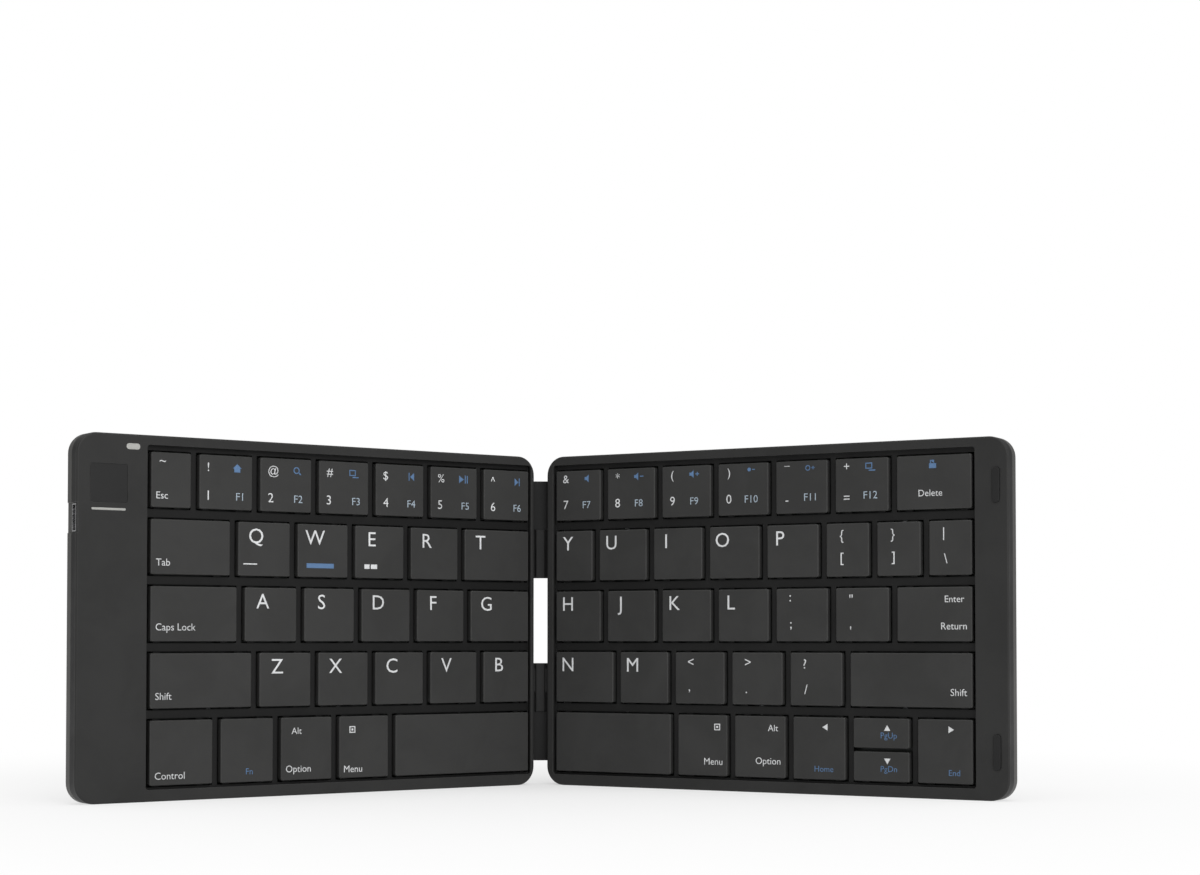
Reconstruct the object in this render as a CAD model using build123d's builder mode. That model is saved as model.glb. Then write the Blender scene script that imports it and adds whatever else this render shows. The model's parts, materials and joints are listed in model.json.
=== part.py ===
from build123d import *
from collections import namedtuple
from math import atan2, cos, degrees, radians, sin
import os

# Folding keyboard, partly opened and standing on its front edges, all sizes in millimetres.
# Seen from the keys: +X runs to the right, +Z from the space row to the number row, and the keys
# face -Y. The origin is the middle of the space the keyboard stands in, on the floor.
# On each half, "reach" is measured outwards from its hinge edge, "down" from its number-row edge
# towards its space-row edge, and "height" from its back face towards the keys.

LEFT, RIGHT = -1, 1

# ---- the two halves
HALF_W = 144.0  # hinge edge to outer edge
HALF_D = 98.0  # number-row edge to space-row edge
HALF_T = 7.2  # back face to bezel
CORNER_R = 5.5
FACE_EDGE_R = 0.5
BACK_EDGE_R = 1.2
WALL = 1.4
FLOOR = 1.0
BEZEL_T = 1.4  # the plate of the plain bezels
HINGE_WALL = 2.6  # the bottom cover's wall along the hinge edge
TONGUE_T = 0.6  # the bottom cover's tongue inside the top frame
TONGUE_H = 0.7
SEAM = 0.15  # the chamfers that make a groove where the two shells meet
SNUG = 0.05  # gap between pieces that are pushed or glued together

# ---- the hinge
REST_FOLD = 32.5  # each half is turned this far from flat, in degrees
PIN_HEIGHT = 3.6  # also where the two shells of a half meet
CLOSED_GAP = 0.4  # between the two bezels when folded shut
PIN_R = 0.6
PIN_CLEARANCE = 0.05
BARREL_R = 1.2
SWING_GAP = 0.15
LUG_R = 1.3
LUG_GAP = 0.2  # between a lug and the link beside it
OUTER_LUG_L = 1.4
INNER_LUG_L = 4.0
LINK_L = 29.2
LINK_INSET = 7.0  # from the end of a half to its link
BARREL_L = 14.6
LINK_BACK = 2.1  # how far a link stands behind the pins
LINK_SETBACK = 0.5  # how far the front of its plate lies behind the pins
LINK_EDGE_GAP = 0.25  # from the line of the pins to the plate's edge
LINK_EDGE_R = 0.6
COVER_SETBACK = 0.1  # how far the front of a cover lies behind the pins
COVER_T = 0.4
COVER_CHAMFER = 0.2
COVER_INSET = 2.4  # from the line of the pins to the cover's edge
CHANNEL_FLOOR_T = 0.8
CHANNEL_WALL = 1.0
CHANNEL_INSET = 1.5  # from the line of the pins to the channel's floor beside the inner lugs

# ---- the keys
KEY_W = 15.8
KEY_D = 14.8
KEY_GAP = 2.45
ROW_PITCH = 18.0
FIRST_ROW = 4.4  # from the number-row edge to the number row
SPACE_ROW_D = 17.4
ARROW_GAP = 1.0  # between the up and down keys
KEY_RECESS = 0.3  # the key tops lie this far below the bezel
KEY_TOP_T = 1.0
KEY_SKIRT = 0.8
KEY_CORNER_R = 0.5
KEY_CHAMFER = 0.2
KEY_CLEARANCE = 0.45
KEY_TRAVEL = 1.2
KEY_STOP = 0.1  # a pressed key's skirt stays this far above the line where the shells meet
HOOK_W = 2.0
HOOK_T = 0.5
HOOK_REACH = 0.3  # how far a hook goes under the key web
HOOK_BARB_H = 0.45
HOOK_GAP = 0.1
PLUNGER_R = 1.1

# ---- the key fields, by half
HINGE_RIM = {LEFT: 1.9, RIGHT: 3.1}  # hinge edge to the nearest keys
FIELD_W = {LEFT: 121.1, RIGHT: 130.5}
WELL_MARGIN_HINGE = {LEFT: 0.65, RIGHT: 0.9}  # keys to the side of the well
WELL_MARGIN_OUTER = {LEFT: 1.2, RIGHT: 1.0}
WELL_MARGIN_BACK = 1.8
WELL_MARGIN_FRONT = 1.0
WELL_R = 0.8
WEB_HEIGHT = 4.6
WEB_T = 1.0
PARTITION = 1.2  # the wall between the key field and the plain bezel

# ---- the layers under the keys
PLATE_HEIGHT = 1.6
PLATE_T = 0.3
MEMBRANE_T = 0.25
LAYER_GAP = 0.3  # between the walls and the layers
DOME_BASE_R = 3.0
DOME_TOP_R = 1.3
DOME_H = 2.1
DOME_WALL = 0.45
DOME_ROOF = 0.5
PLUNGER_GAP = 0.05
RIB_W = 0.8
BOSS_R = 1.8
SCREW_R = 0.55
SCREW_HEAD_R = 1.1
SCREW_HEAD_H = 0.5
SCREW_DRIVE_DEPTH = 0.25
SCREW_DEPTH = 1.1
SCREWS_PER_ROW = 3
TAIL_W = 7.0  # the membrane's tail, and where it runs
TAIL_DOWN = 10.0
TAIL_L = 8.0

# ---- the electronics in the left bezel
BOARD_W = 15.4
BOARD_L = 31.0
BOARD_T = 0.7
BOARD_CORNER_R = 1.5
BOARD_DOWN = 3.0
BOARD_POST_R = 1.2
BOARD_POST_IN = 2.4  # from the board's sides to the middle of a post
SIDE_GAP = 0.6  # partition to board and battery
CHIP_SIDE = 6.0
CHIP_H = 0.9
CHIP_IN = 5.7  # from the board's side to the middle of the chip
CHIP_DOWN = 27.0
CONNECTOR_W = 2.5
CONNECTOR_H = 1.0
BATTERY_W = 15.0
BATTERY_L = 56.0
BATTERY_T = 3.0
BATTERY_DOWN = 37.5
BATTERY_EDGE_R = 1.0
BATTERY_TAB_L = 2.6
BATTERY_TAB_W = 9.2
BATTERY_TAB_T = 1.8
SOCKET_W = 7.4
SOCKET_L = 5.3
SOCKET_H = 2.6
SOCKET_WALL = 0.3
SOCKET_BACK = 0.7
SOCKET_TONGUE_T = 0.6
SOCKET_TONGUE_GAP = 0.9
SOCKET_DOWN = 22.6  # to its middle
SOCKET_CLEARANCE = 0.15
SOCKET_NOTCH_W = 8.0
SOCKET_NOTCH = 0.5

# ---- what sits in the bezels
WINDOW_W = 10.5
WINDOW_L = 10.2
WINDOW_T = 0.8
WINDOW_IN = 3.7  # from the outer edge
WINDOW_DOWN = 8.2
WINDOW_RECESS = 0.05
WINDOW_LEDGE = 1.2
WINDOW_R = 0.6
LENS_W = 3.9
LENS_L = 1.6
LENS_IN = 13.8
LENS_DOWN = 2.5
BAR_W = 9.6
BAR_L = 0.6
BAR_IN = 4.1
BAR_DOWN = 19.9
LIGHT_FLANGE = 0.3
BUMPER_W = 2.0
BUMPER_L = 9.6
BUMPER_T = 0.8
BUMPER_IN = 2.4
BUMPER_DOWN = 8.3
MAGNET_W = 3.0
MAGNET_L = 8.0
MAGNET_T = 1.5
MAGNET_IN = 2.4

# ---- the flat cable across the hinge
FLEX_W = 7.0
FLEX_T = 0.12
FLEX_START = 20.5  # along the lower link, from its outer end
FLEX_SLOT = 0.3  # room above, below and beside it where it leaves a half
FLEX_TAIL = 5.8
FLEX_DIP_REACH = 4.4
FLEX_SETBACK = 0.7  # how far it runs behind the pins under the cover
FLEX_RUN_IN = 0.9  # from the line of the pins to where it has reached that depth
FLEX_BEND_R = 0.5

# ---- values that follow from those above
TILT = radians(REST_FOLD)
LINK_PITCH = 2 * (HALF_T - PIN_HEIGHT) + CLOSED_GAP
NEAREST_Y = FACE_EDGE_R + (HALF_W - FACE_EDGE_R) * sin(TILT)
NEAREST_Y += (HALF_T - PIN_HEIGHT - FACE_EDGE_R) * cos(TILT)
FURTHEST_Y = (PIN_HEIGHT - BACK_EDGE_R) * cos(TILT) - BACK_EDGE_R * sin(TILT) + BACK_EDGE_R
HINGE_Y = (NEAREST_Y - FURTHEST_Y) / 2
KEY_TOP = HALF_T - KEY_RECESS
KEY_FOOT = PIN_HEIGHT + KEY_TRAVEL + KEY_STOP
WEB_TOP = WEB_HEIGHT + WEB_T
MEMBRANE_HEIGHT = PLATE_HEIGHT + PLATE_T
DOME_HEIGHT = MEMBRANE_HEIGHT + MEMBRANE_T
DOME_TOP = DOME_HEIGHT + DOME_H
FIELD_END = {side: HINGE_RIM[side] + FIELD_W[side] for side in (LEFT, RIGHT)}
WELL_START = {side: HINGE_RIM[side] - WELL_MARGIN_HINGE[side] for side in (LEFT, RIGHT)}
WELL_END = {side: FIELD_END[side] + WELL_MARGIN_OUTER[side] for side in (LEFT, RIGHT)}
SPACE_ROW = FIRST_ROW + 4 * ROW_PITCH
WELL_BACK = FIRST_ROW - WELL_MARGIN_BACK
WELL_FRONT = SPACE_ROW + SPACE_ROW_D + WELL_MARGIN_FRONT
ROW_GAPS = [FIRST_ROW + row * ROW_PITCH - (ROW_PITCH - KEY_D) / 2 for row in (1, 2, 3, 4)]
BAY_START = {side: WELL_END[side] + PARTITION for side in (LEFT, RIGHT)}
BOARD_HEIGHT = DOME_HEIGHT
BOARD_START = BAY_START[LEFT] + SIDE_GAP
SOCKET_HEIGHT = BOARD_HEIGHT + BOARD_T
SOCKET_END = HALF_W - SOCKET_NOTCH
BEZEL_FLOOR = HALF_T - BEZEL_T
BUMPER_PROUD = CLOSED_GAP - SNUG

# ---- the key layout: each row from the left, with each key's name and width; None is what is left over
Key = namedtuple("Key", "name start end back front")


def standard(names):
    """Keys of the standard width."""
    return [(name, KEY_W) for name in names]


ROWS = {
    LEFT: [
        [("esc", None)] + standard("123456"),
        [("tab", None)] + standard("qwer") + [("t", 22.4)],
        [("caps_lock", None)] + standard("asdf") + [("g", 20.3)],
        [("left_shift", None)] + standard("zxcvb"),
        [("ctrl", None)] + standard(["fn", "alt", "left_command"]) + [("left_space", 45.6)],
    ],
    RIGHT: [
        [("7", 15.2)] + standard(["8", "9", "0", "minus", "equals"]) + [("backspace", None)],
        [("y", 12.4)]
        + standard("uiop")
        + [("open_bracket", 12.75), ("close_bracket", 12.75), ("backslash", None)],
        [("h", 15.2)] + standard(["j", "k", "l", "semicolon", "quote"]) + [("enter", None)],
        [("n", 19.5)] + standard(["m", "comma", "full_stop", "slash"]) + [("right_shift", None)],
        [("right_space", 38.6)]
        + standard(["right_command", "option", "left_arrow"])
        + [("up_arrow", 16.5), ("right_arrow", None)],
    ],
}

# the keys that share a piece; every other key is a piece of its own
KEY_GROUPS = {
    "left_number_keys": ["esc", "1", "2", "3", "4", "5", "6"],
    "left_side_keys": ["tab", "caps_lock", "left_shift", "ctrl", "fn", "alt", "left_command"],
    "right_number_keys": ["7", "8", "9", "0", "minus", "equals", "backspace"],
    "right_punctuation_keys": ["open_bracket", "close_bracket", "backslash"]
    + ["semicolon", "quote", "comma", "full_stop", "slash"],
    "right_side_keys": ["enter", "right_shift", "right_command", "option"],
    "arrow_keys": ["left_arrow", "up_arrow", "down_arrow", "right_arrow"],
}


def row_keys(side, row):
    """The keys of one row, with the reach and down of their sides."""
    widths = dict(ROWS[side][row])
    spare = FIELD_W[side] - KEY_GAP * (len(widths) - 1) - sum(width or 0 for width in widths.values())
    back = FIRST_ROW + row * ROW_PITCH
    front = back + (SPACE_ROW_D if row == 4 else KEY_D)
    keys, place = [], 0.0
    for name, width in widths.items():
        width = width or spare
        ends = [HINGE_RIM[side] + place, HINGE_RIM[side] + place + width]
        if side == LEFT:
            ends = [FIELD_END[side] - place - width, FIELD_END[side] - place]
        place += width + KEY_GAP
        if name == "up_arrow":
            middle = (back + front) / 2
            keys.append(Key("up_arrow", *ends, back, middle - ARROW_GAP / 2))
            keys.append(Key("down_arrow", *ends, middle + ARROW_GAP / 2, front))
        else:
            keys.append(Key(name, *ends, back, front))
    return keys


KEYS = {side: [key for row in range(5) for key in row_keys(side, row)] for side in (LEFT, RIGHT)}


# ---- drawing on a half
def half_plane(side, height):
    """The plane of one half at a height above its back; x runs right, y up, the origin is below a pin."""
    across = Vector(cos(TILT), -side * sin(TILT), 0)
    outwards = Vector(-side * sin(TILT), -cos(TILT), 0)
    pin = Vector(side * LINK_PITCH / 2, HINGE_Y, 0)
    return Plane(origin=pin + outwards * (height - PIN_HEIGHT), x_dir=across, z_dir=outwards)


def spot(side, reach, down):
    """A point on a half's plane."""
    return side * reach, HALF_D - down


def block(side, start, end, back, front, radius=0.0, mode=Mode.ADD):
    """A rectangle between two reaches and two downs, in the sketch that is open."""
    with Locations(spot(side, (start + end) / 2, (back + front) / 2)):
        if radius:
            RectangleRounded(end - start, front - back, radius, mode=mode)
        else:
            Rectangle(end - start, front - back, mode=mode)


def inset_outline(side, inset, mode=Mode.ADD):
    """The outline of a half, drawn in by an inset, in the sketch that is open."""
    block(side, inset, HALF_W - inset, inset, HALF_D - inset, CORNER_R - inset, mode)


def cavity(side, start, end):
    """The space inside a half's walls between two reaches, in the sketch that is open."""
    inset_outline(side, WALL)
    block(side, start, end, 0, HALF_D, mode=Mode.INTERSECT)


def tongue_ring(side, inset, thickness):
    """A band round a half, left out along the hinge edge, in the sketch that is open."""
    inset_outline(side, inset)
    inset_outline(side, inset + thickness, Mode.SUBTRACT)
    block(side, 0, HINGE_WALL + CORNER_R, 0, HALF_D, mode=Mode.SUBTRACT)


def outwards(side):
    """The direction in which the keys of a half face."""
    return Axis(half_plane(side, 0).origin, half_plane(side, 0).z_dir)


# ---- where things lie along the hinge
def link_spans(start, end):
    """The lowest and highest z of a stretch of both links, given from their outer ends."""
    lower = (LINK_INSET + start, LINK_INSET + end)
    return [lower, (HALF_D - lower[1], HALF_D - lower[0])]


OUTER_LUG_SPANS = link_spans(-LUG_GAP - OUTER_LUG_L, -LUG_GAP)
INNER_LUG_SPANS = link_spans(BARREL_L + LUG_GAP, BARREL_L + LUG_GAP + INNER_LUG_L)
LUG_SPANS = OUTER_LUG_SPANS + INNER_LUG_SPANS
PIN_SPANS = link_spans(-LUG_GAP - OUTER_LUG_L, BARREL_L + LUG_GAP + INNER_LUG_L)
BARREL_SPANS = link_spans(-LUG_GAP, BARREL_L + LUG_GAP)
FLEX_SPAN = link_spans(FLEX_START, FLEX_START + FLEX_W)[0]


def rods(side, spans, radius, mode=Mode.ADD):
    """Round bars along the pin line of a half, in the part that is open."""
    for low, high in spans:
        with BuildSketch(Plane.XY.offset(low)) as end:
            with Locations((side * LINK_PITCH / 2, HINGE_Y)):
                Circle(radius)
        extrude(end.sketch, amount=high - low, mode=mode)


def socket_opening(side):
    """Cuts the charging socket's opening out of the shell that is open."""
    half_w, clear = SOCKET_W / 2 + SOCKET_CLEARANCE, SOCKET_CLEARANCE
    with BuildSketch(half_plane(side, SOCKET_HEIGHT - clear)) as mouth:
        block(side, SOCKET_END - SOCKET_L, HALF_W, SOCKET_DOWN - half_w, SOCKET_DOWN + half_w)
    extrude(mouth.sketch, amount=SOCKET_H + 2 * clear, mode=Mode.SUBTRACT)
    with BuildSketch(half_plane(side, 0)) as notch:
        half_notch = SOCKET_NOTCH_W / 2
        block(side, SOCKET_END, HALF_W + SOCKET_NOTCH, SOCKET_DOWN - half_notch, SOCKET_DOWN + half_notch)
    extrude(notch.sketch, amount=HALF_T, mode=Mode.SUBTRACT)


def flex_slot(side):
    """Cuts the flat cable's way through the hinge edge out of the shell that is open."""
    low, high = FLEX_SPAN
    with BuildSketch(half_plane(side, PIN_HEIGHT - FLEX_SLOT)) as slot:
        block(side, 0, HINGE_WALL, HALF_D - high - FLEX_SLOT, HALF_D - low + FLEX_SLOT)
    extrude(slot.sketch, amount=2 * FLEX_SLOT, mode=Mode.SUBTRACT)


def screw_spots(side):
    """The screws that hold the base plate, in two of the gaps between rows."""
    first, last = plate_ends(side)
    step = (last - first) / SCREWS_PER_ROW
    reaches = [first + step * (n + 0.5) for n in range(SCREWS_PER_ROW)]
    return [spot(side, reach, down) for down in (ROW_GAPS[0], ROW_GAPS[3]) for reach in reaches]


def plate_ends(side):
    """The reach of the base plate's two ends."""
    return HINGE_WALL + LAYER_GAP, WELL_END[side] - LAYER_GAP


# ---- shells
def bottom_cover(side):
    """The shell on the back: walls, ribs and bosses, the lugs for the hinge pins, and a tongue."""
    with BuildPart() as cover:
        with BuildSketch(half_plane(side, 0)):
            inset_outline(side, 0)
        extrude(amount=PIN_HEIGHT)
        fillet(cover.faces().sort_by(outwards(side))[0].edges(), BACK_EDGE_R)
        chamfer(cover.faces().sort_by(outwards(side))[-1].edges(), SEAM)
        with BuildSketch(half_plane(side, FLOOR)):
            cavity(side, HINGE_WALL, HALF_W)
        extrude(amount=HALF_T, mode=Mode.SUBTRACT)
        with BuildSketch(half_plane(side, FLOOR)):
            for down in ROW_GAPS:
                block(side, HINGE_WALL, WELL_END[side], down - RIB_W / 2, down + RIB_W / 2)
            with Locations(*screw_spots(side)):
                Circle(BOSS_R)
        extrude(amount=PLATE_HEIGHT - FLOOR)
        with BuildSketch(half_plane(side, PIN_HEIGHT)):
            tongue_ring(side, WALL + SNUG, TONGUE_T)
        extrude(amount=TONGUE_H)
        with BuildSketch(half_plane(side, PIN_HEIGHT - WALL)):
            tongue_ring(side, WALL, SNUG + TONGUE_T)
        extrude(amount=WALL)
        with BuildSketch(half_plane(side, PLATE_HEIGHT - SCREW_DEPTH)):
            with Locations(*screw_spots(side)):
                Circle(SCREW_R)
        extrude(amount=SCREW_DEPTH, mode=Mode.SUBTRACT)
        rods(side, BARREL_SPANS, BARREL_R + SWING_GAP, Mode.SUBTRACT)
        rods(side, LUG_SPANS, LUG_R)
        rods(side, LUG_SPANS, PIN_R, Mode.SUBTRACT)
        flex_slot(side)
        if side == LEFT:
            with BuildSketch(half_plane(side, FLOOR)):
                with Locations(*board_corners()):
                    Circle(BOARD_POST_R)
            extrude(amount=BOARD_HEIGHT - FLOOR)
            socket_opening(side)
    return cover


def top_frame(side):
    """The shell round the keys: bezel, key well, and the web that each key slides in."""
    with BuildPart() as frame:
        with BuildSketch(half_plane(side, PIN_HEIGHT)):
            inset_outline(side, 0)
        extrude(amount=HALF_T - PIN_HEIGHT)
        fillet(frame.faces().sort_by(outwards(side))[-1].edges(), FACE_EDGE_R)
        chamfer(frame.faces().sort_by(outwards(side))[0].edges(), SEAM)
        with BuildSketch(half_plane(side, PIN_HEIGHT)):
            cavity(side, WALL, WELL_END[side])
        extrude(amount=WEB_HEIGHT - PIN_HEIGHT, mode=Mode.SUBTRACT)
        with BuildSketch(half_plane(side, PIN_HEIGHT)):
            cavity(side, BAY_START[side], HALF_W)
        extrude(amount=BEZEL_FLOOR - PIN_HEIGHT, mode=Mode.SUBTRACT)
        with BuildSketch(half_plane(side, PIN_HEIGHT)):
            tongue_ring(side, WALL, TONGUE_T + 2 * SNUG)
        extrude(amount=TONGUE_H + SNUG, mode=Mode.SUBTRACT)
        with BuildSketch(half_plane(side, WEB_TOP)):
            block(side, WELL_START[side], WELL_END[side], WELL_BACK, WELL_FRONT, WELL_R)
        extrude(amount=HALF_T, mode=Mode.SUBTRACT)
        with BuildSketch(half_plane(side, PIN_HEIGHT)):
            for key in KEYS[side]:
                back, front = cell_ends(key)
                block(side, key.start - KEY_CLEARANCE, key.end + KEY_CLEARANCE, back, front)
        extrude(amount=HALF_T, mode=Mode.SUBTRACT)
        rods(side, BARREL_SPANS, BARREL_R + SWING_GAP, Mode.SUBTRACT)
        rods(side, LUG_SPANS, LUG_R + SNUG, Mode.SUBTRACT)
        flex_slot(side)
        if side == LEFT:
            socket_opening(side)
            window_opening(side)
            for light in light_outlines():
                with BuildSketch(half_plane(side, BEZEL_FLOOR)):
                    light_shape(side, light, SNUG)
                extrude(amount=BEZEL_T, mode=Mode.SUBTRACT)
        else:
            with BuildSketch(half_plane(side, HALF_T + BUMPER_PROUD - BUMPER_T)):
                bumper_shapes(side, SNUG)
            extrude(amount=BUMPER_T, mode=Mode.SUBTRACT)
    return frame


def cell_ends(key):
    """The ends of the opening round a key; the up and down keys share one."""
    back = key.back - (ARROW_GAP / 2 if key.name == "down_arrow" else KEY_CLEARANCE)
    front = key.front + (ARROW_GAP / 2 if key.name == "up_arrow" else KEY_CLEARANCE)
    return back, front


# ---- the layers under the keys
def base_plate(side):
    """The steel plate that the keys press against."""
    first, last = plate_ends(side)
    edge = WALL + LAYER_GAP
    with BuildPart() as plate:
        with BuildSketch(half_plane(side, PLATE_HEIGHT)):
            block(side, first, last, edge, HALF_D - edge, CORNER_R - edge)
            with Locations(*screw_spots(side)):
                Circle(SCREW_R + SNUG, mode=Mode.SUBTRACT)
        extrude(amount=PLATE_T)
    return plate


def membrane(side):
    """The printed switch sheet on the base plate; the left one has a tail to the board."""
    first, last = plate_ends(side)
    edge = WALL + 2 * LAYER_GAP
    with BuildPart() as sheet:
        with BuildSketch(half_plane(side, MEMBRANE_HEIGHT)):
            block(side, first + LAYER_GAP, last - LAYER_GAP, edge, HALF_D - edge, CORNER_R - edge)
            if side == LEFT:
                block(side, last - TAIL_L, last + TAIL_L, TAIL_DOWN, TAIL_DOWN + TAIL_W)
            with Locations(*screw_spots(side)):
                Circle(SCREW_HEAD_R + LAYER_GAP, mode=Mode.SUBTRACT)
        extrude(amount=MEMBRANE_T)
    return sheet


def dome_shapes(side, radius):
    """A circle under the middle of each key, in the sketch that is open."""
    for key in KEYS[side]:
        with Locations(spot(side, (key.start + key.end) / 2, (key.back + key.front) / 2)):
            Circle(radius)


def rubber_domes(side):
    """One hollow rubber dome under the middle of each key."""
    slope = degrees(atan2(DOME_BASE_R - DOME_TOP_R, DOME_H))
    with BuildPart() as domes:
        with BuildSketch(half_plane(side, DOME_HEIGHT)):
            dome_shapes(side, DOME_BASE_R)
        extrude(amount=DOME_H, taper=slope)
        with BuildSketch(half_plane(side, DOME_HEIGHT)):
            dome_shapes(side, DOME_BASE_R - DOME_WALL)
        extrude(amount=DOME_H - DOME_ROOF, taper=slope, mode=Mode.SUBTRACT)
    return domes


def plate_screws(side):
    """The screws that fasten the base plate to the bottom cover's bosses."""
    with BuildPart() as screws:
        with BuildSketch(half_plane(side, PLATE_HEIGHT - SCREW_DEPTH)):
            with Locations(*screw_spots(side)):
                Circle(SCREW_R)
        extrude(amount=SCREW_DEPTH + PLATE_T)
        with BuildSketch(half_plane(side, MEMBRANE_HEIGHT)):
            with Locations(*screw_spots(side)):
                Circle(SCREW_HEAD_R)
                RegularPolygon(SCREW_R, 6, mode=Mode.SUBTRACT)
        extrude(amount=SCREW_HEAD_H)
        with BuildSketch(half_plane(side, MEMBRANE_HEIGHT)):
            with Locations(*screw_spots(side)):
                Circle(SCREW_HEAD_R)
        extrude(amount=SCREW_HEAD_H - SCREW_DRIVE_DEPTH)
    return screws


# ---- the keys
def hook_shapes(side, keys, reach):
    """The outlines of the hooks on each key's two long sides, standing out from them by a reach."""
    for key in keys:
        for end in (key.start + KEY_SKIRT + HOOK_W, key.end - KEY_SKIRT - HOOK_W):
            if key.name != "down_arrow":
                block(side, end - HOOK_W / 2, end + HOOK_W / 2, key.back - reach, key.back + HOOK_T)
            if key.name != "up_arrow":
                block(side, end - HOOK_W / 2, end + HOOK_W / 2, key.front - HOOK_T, key.front + reach)


def keycaps(side, names):
    """The keys of one node: chamfered caps with skirts, a plunger, and hooks under the key web."""
    keys = [key for key in KEYS[side] if key.name in names]
    cap_floor = KEY_TOP - KEY_TOP_T
    hook_foot = WEB_HEIGHT - HOOK_GAP - HOOK_BARB_H
    with BuildPart() as caps:
        with BuildSketch(half_plane(side, KEY_FOOT)):
            for key in keys:
                block(side, key.start, key.end, key.back, key.front, KEY_CORNER_R)
        extrude(amount=KEY_TOP - KEY_FOOT)
        tops = caps.faces().group_by(outwards(side))[-1]
        chamfer([edge for top in tops for edge in top.edges()], KEY_CHAMFER)
        with BuildSketch(half_plane(side, KEY_FOOT)):
            for key in keys:
                skirt = KEY_SKIRT
                block(side, key.start + skirt, key.end - skirt, key.back + skirt, key.front - skirt)
        extrude(amount=cap_floor - KEY_FOOT, mode=Mode.SUBTRACT)
        with BuildSketch(half_plane(side, DOME_TOP + PLUNGER_GAP)):
            for key in keys:
                with Locations(spot(side, (key.start + key.end) / 2, (key.back + key.front) / 2)):
                    Circle(PLUNGER_R)
        extrude(amount=cap_floor - DOME_TOP - PLUNGER_GAP)
        with BuildSketch(half_plane(side, hook_foot)):
            hook_shapes(side, keys, 0)
        extrude(amount=cap_floor - hook_foot)
        with BuildSketch(half_plane(side, hook_foot)):
            hook_shapes(side, keys, KEY_CLEARANCE + HOOK_REACH)
        extrude(amount=HOOK_BARB_H)
    return caps


# ---- the hinge
def hinge_pins(side):
    """The two steel pins of one half, each held in two lugs."""
    with BuildPart() as pins:
        rods(side, PIN_SPANS, PIN_R)
    return pins


def link_rectangle(edge_gap, back, front):
    """A rectangle across a link, given by its distance from the pins and from the line between them."""
    with Locations((0, HINGE_Y - (front + back) / 2)):
        Rectangle(LINK_PITCH - 2 * edge_gap, front - back)


def lower_hinge_link():
    """The link at the space-row end: a plate with two barrels, then a channel for the flat cable."""
    with BuildPart() as link:
        with BuildSketch(Plane.XY.offset(LINK_INSET)):
            link_rectangle(LINK_EDGE_GAP, -LINK_BACK, -LINK_SETBACK)
            with Locations((-LINK_PITCH / 2, HINGE_Y), (LINK_PITCH / 2, HINGE_Y)):
                Circle(BARREL_R)
        extrude(amount=BARREL_L)
        with BuildSketch(Plane.XY.offset(LINK_INSET + BARREL_L)):
            link_rectangle(CHANNEL_INSET, -LINK_BACK, CHANNEL_FLOOR_T - LINK_BACK)
        extrude(amount=LINK_L - BARREL_L)
        with BuildSketch(Plane.XY.offset(LINK_INSET + BARREL_L + INNER_LUG_L + 2 * LUG_GAP)):
            link_rectangle(LINK_EDGE_GAP, -LINK_BACK, CHANNEL_FLOOR_T - LINK_BACK)
        extrude(amount=LINK_L - BARREL_L - INNER_LUG_L - 2 * LUG_GAP)
        for start in (BARREL_L, LINK_L - CHANNEL_WALL):
            with BuildSketch(Plane.XY.offset(LINK_INSET + start)):
                link_rectangle(COVER_INSET, -LINK_BACK, -COVER_SETBACK - COVER_T)
            extrude(amount=CHANNEL_WALL)
        back = link.faces().sort_by(Axis.Y)[-1]
        fillet(back.edges().filter_by(Axis.Z), LINK_EDGE_R)
        with BuildSketch(Plane.XY.offset(LINK_INSET)):
            with Locations((-LINK_PITCH / 2, HINGE_Y), (LINK_PITCH / 2, HINGE_Y)):
                Circle(PIN_R + PIN_CLEARANCE)
        extrude(amount=BARREL_L, mode=Mode.SUBTRACT)
    return link


def upper_hinge_link():
    """The same link at the number-row end, turned end for end."""
    with BuildPart() as link:
        mirror(lower_hinge_link().part, about=Plane.XY.offset(HALF_D / 2))
    return link


def link_covers():
    """The covers over the links' channels, raised a little above the plates."""
    with BuildPart() as covers:
        for low, high in link_spans(BARREL_L, LINK_L):
            with BuildSketch(Plane.XY.offset(low)):
                link_rectangle(COVER_INSET, -COVER_SETBACK - COVER_T, -COVER_SETBACK)
            extrude(amount=high - low)
        front = covers.faces().group_by(Axis.Y)[0]
        chamfer([edge for face in front for edge in face.edges()], COVER_CHAMFER)
    return covers


def flex_cable():
    """The flat cable that joins the halves: out of a half, over a pin line, and under the cover."""
    low, high = FLEX_SPAN
    dip = DOME_HEIGHT + FLEX_T + SNUG
    steps = [(FLEX_TAIL, dip), (FLEX_DIP_REACH, dip), (HINGE_WALL + LAYER_GAP, PIN_HEIGHT), (0, PIN_HEIGHT)]
    run = Vector(LINK_PITCH / 2 - FLEX_RUN_IN, HINGE_Y + FLEX_SETBACK)
    left = [half_plane(LEFT, height).from_local_coords((LEFT * reach, 0)) for reach, height in steps]
    right = [half_plane(RIGHT, height).from_local_coords((RIGHT * reach, 0)) for reach, height in steps]
    points = [*left, Vector(-run.X, run.Y), run, *reversed(right)]
    with BuildPart() as cable:
        with BuildSketch(Plane.XY.offset(low)):
            with BuildLine():
                FilletPolyline(*[(point.X, point.Y) for point in points], radius=FLEX_BEND_R)
            trace(line_width=FLEX_T)
        extrude(amount=high - low)
    return cable


# ---- the electronics
def board_corners():
    """The board's four posts."""
    inset = BOARD_POST_IN
    reaches = (BOARD_START + inset, BOARD_START + BOARD_W - inset)
    downs = (BOARD_DOWN + inset, BOARD_DOWN + BOARD_L - inset)
    return [spot(LEFT, reach, down) for reach in reaches for down in downs]


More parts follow.
